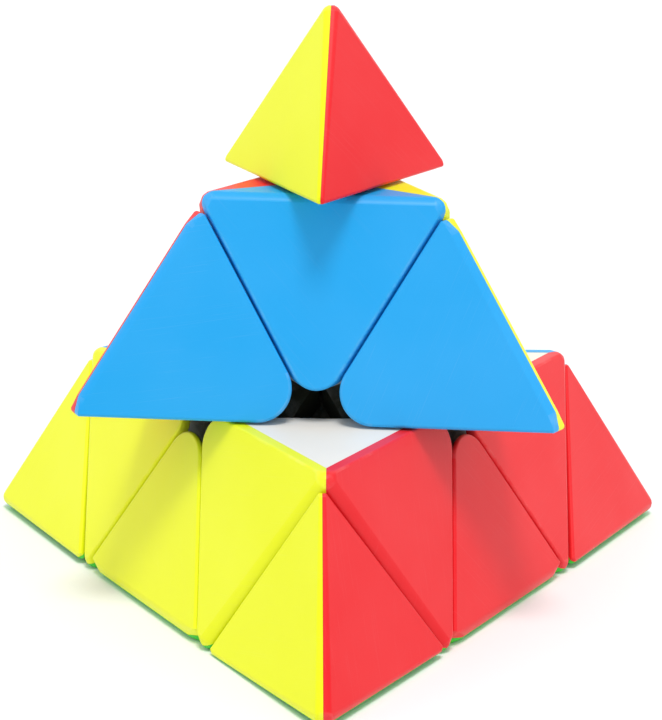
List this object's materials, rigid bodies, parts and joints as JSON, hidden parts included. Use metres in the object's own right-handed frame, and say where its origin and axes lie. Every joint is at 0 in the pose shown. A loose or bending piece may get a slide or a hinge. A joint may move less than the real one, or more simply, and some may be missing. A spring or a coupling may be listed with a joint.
{
  "type": "pyramid twisty puzzle",
  "caption": "Stickerless tetrahedral twisty puzzle with rounded coloured caps, its upper layer caught half way through a turn and its top tip turned back.",
  "frame": {"origin": "centre of the core, where the four turning axes meet; it is also the centroid", "axes": "+Z along the turning axis of the upper layer, out through the top tip; -Y towards the front corner; the puzzle rests on the green face at z = -20.4 mm"},
  "size_m": [0.0948, 0.0904, 0.078],
  "materials": {
    "yellow_plastic": "gloss",
    "red_plastic": "gloss",
    "blue_plastic": "gloss",
    "green_plastic": "gloss",
    "white_plastic": "satin",
    "black_plastic": "satin",
    "steel": "brushed"
  },
  "bodies": {
    "base_layer": {"core": "black_plastic", "edge_blue_green_body": "black_plastic", "edge_blue_green_cap_blue": "blue_plastic", "edge_blue_green_cap_green": "green_plastic", "edge_red_green_body": "black_plastic", "edge_red_green_cap_green": "green_plastic", "edge_red_green_cap_red": "red_plastic", "edge_yellow_green_body": "black_plastic", "edge_yellow_green_cap_green": "green_plastic", "edge_yellow_green_cap_yellow": "yellow_plastic", "front_axial_body": "white_plastic", "front_axial_cap_green": "green_plastic", "front_axial_cap_red": "red_plastic", "front_axial_cap_yellow": "yellow_plastic", "front_screw": "steel", "front_spring": "steel", "left_axial_body": "white_plastic", "left_axial_cap_blue": "blue_plastic", "left_axial_cap_green": "green_plastic", "left_axial_cap_yellow": "yellow_plastic", "left_screw": "steel", "left_spring": "steel", "right_axial_body": "white_plastic", "right_axial_cap_blue": "blue_plastic", "right_axial_cap_green": "green_plastic", "right_axial_cap_red": "red_plastic", "right_screw": "steel", "right_spring": "steel", "top_screw": "steel", "top_spring": "steel"},
    "upper_layer": {"edge_blue_yellow_body": "black_plastic", "edge_blue_yellow_cap_blue": "blue_plastic", "edge_blue_yellow_cap_yellow": "yellow_plastic", "edge_red_blue_body": "black_plastic", "edge_red_blue_cap_blue": "blue_plastic", "edge_red_blue_cap_red": "red_plastic", "edge_yellow_red_body": "black_plastic", "edge_yellow_red_cap_red": "red_plastic", "edge_yellow_red_cap_yellow": "yellow_plastic", "top_axial_body": "white_plastic", "top_axial_cap_blue": "blue_plastic", "top_axial_cap_red": "red_plastic", "top_axial_cap_yellow": "yellow_plastic"},
    "top_tip": {"top_tip_body": "white_plastic", "top_tip_cap_blue": "blue_plastic", "top_tip_cap_red": "red_plastic", "top_tip_cap_yellow": "yellow_plastic"},
    "front_tip": {"front_tip_body": "white_plastic", "front_tip_cap_green": "green_plastic", "front_tip_cap_red": "red_plastic", "front_tip_cap_yellow": "yellow_plastic"},
    "right_tip": {"right_tip_body": "white_plastic", "right_tip_cap_blue": "blue_plastic", "right_tip_cap_green": "green_plastic", "right_tip_cap_red": "red_plastic"},
    "left_tip": {"left_tip_body": "white_plastic", "left_tip_cap_blue": "blue_plastic", "left_tip_cap_green": "green_plastic", "left_tip_cap_yellow": "yellow_plastic"}
  },
  "joints": [
    {"name": "upper_layer_turn", "type": "hinge", "parent": "base_layer", "child": "upper_layer", "pos_m": [0, 0, 0], "axis": [0, 0, 1], "continuous": true},
    {"name": "top_tip_turn", "type": "hinge", "parent": "upper_layer", "child": "top_tip", "pos_m": [0, 0, 0], "axis": [0, 0, 1], "continuous": true},
    {"name": "front_tip_turn", "type": "hinge", "parent": "base_layer", "child": "front_tip", "pos_m": [0, 0, 0], "axis": [0, -0.9428, -0.3333], "continuous": true},
    {"name": "right_tip_turn", "type": "hinge", "parent": "base_layer", "child": "right_tip", "pos_m": [0, 0, 0], "axis": [0.8165, 0.4714, -0.3333], "continuous": true},
    {"name": "left_tip_turn", "type": "hinge", "parent": "base_layer", "child": "left_tip", "pos_m": [0, 0, 0], "axis": [-0.8165, 0.4714, -0.3333], "continuous": true}
  ]
}
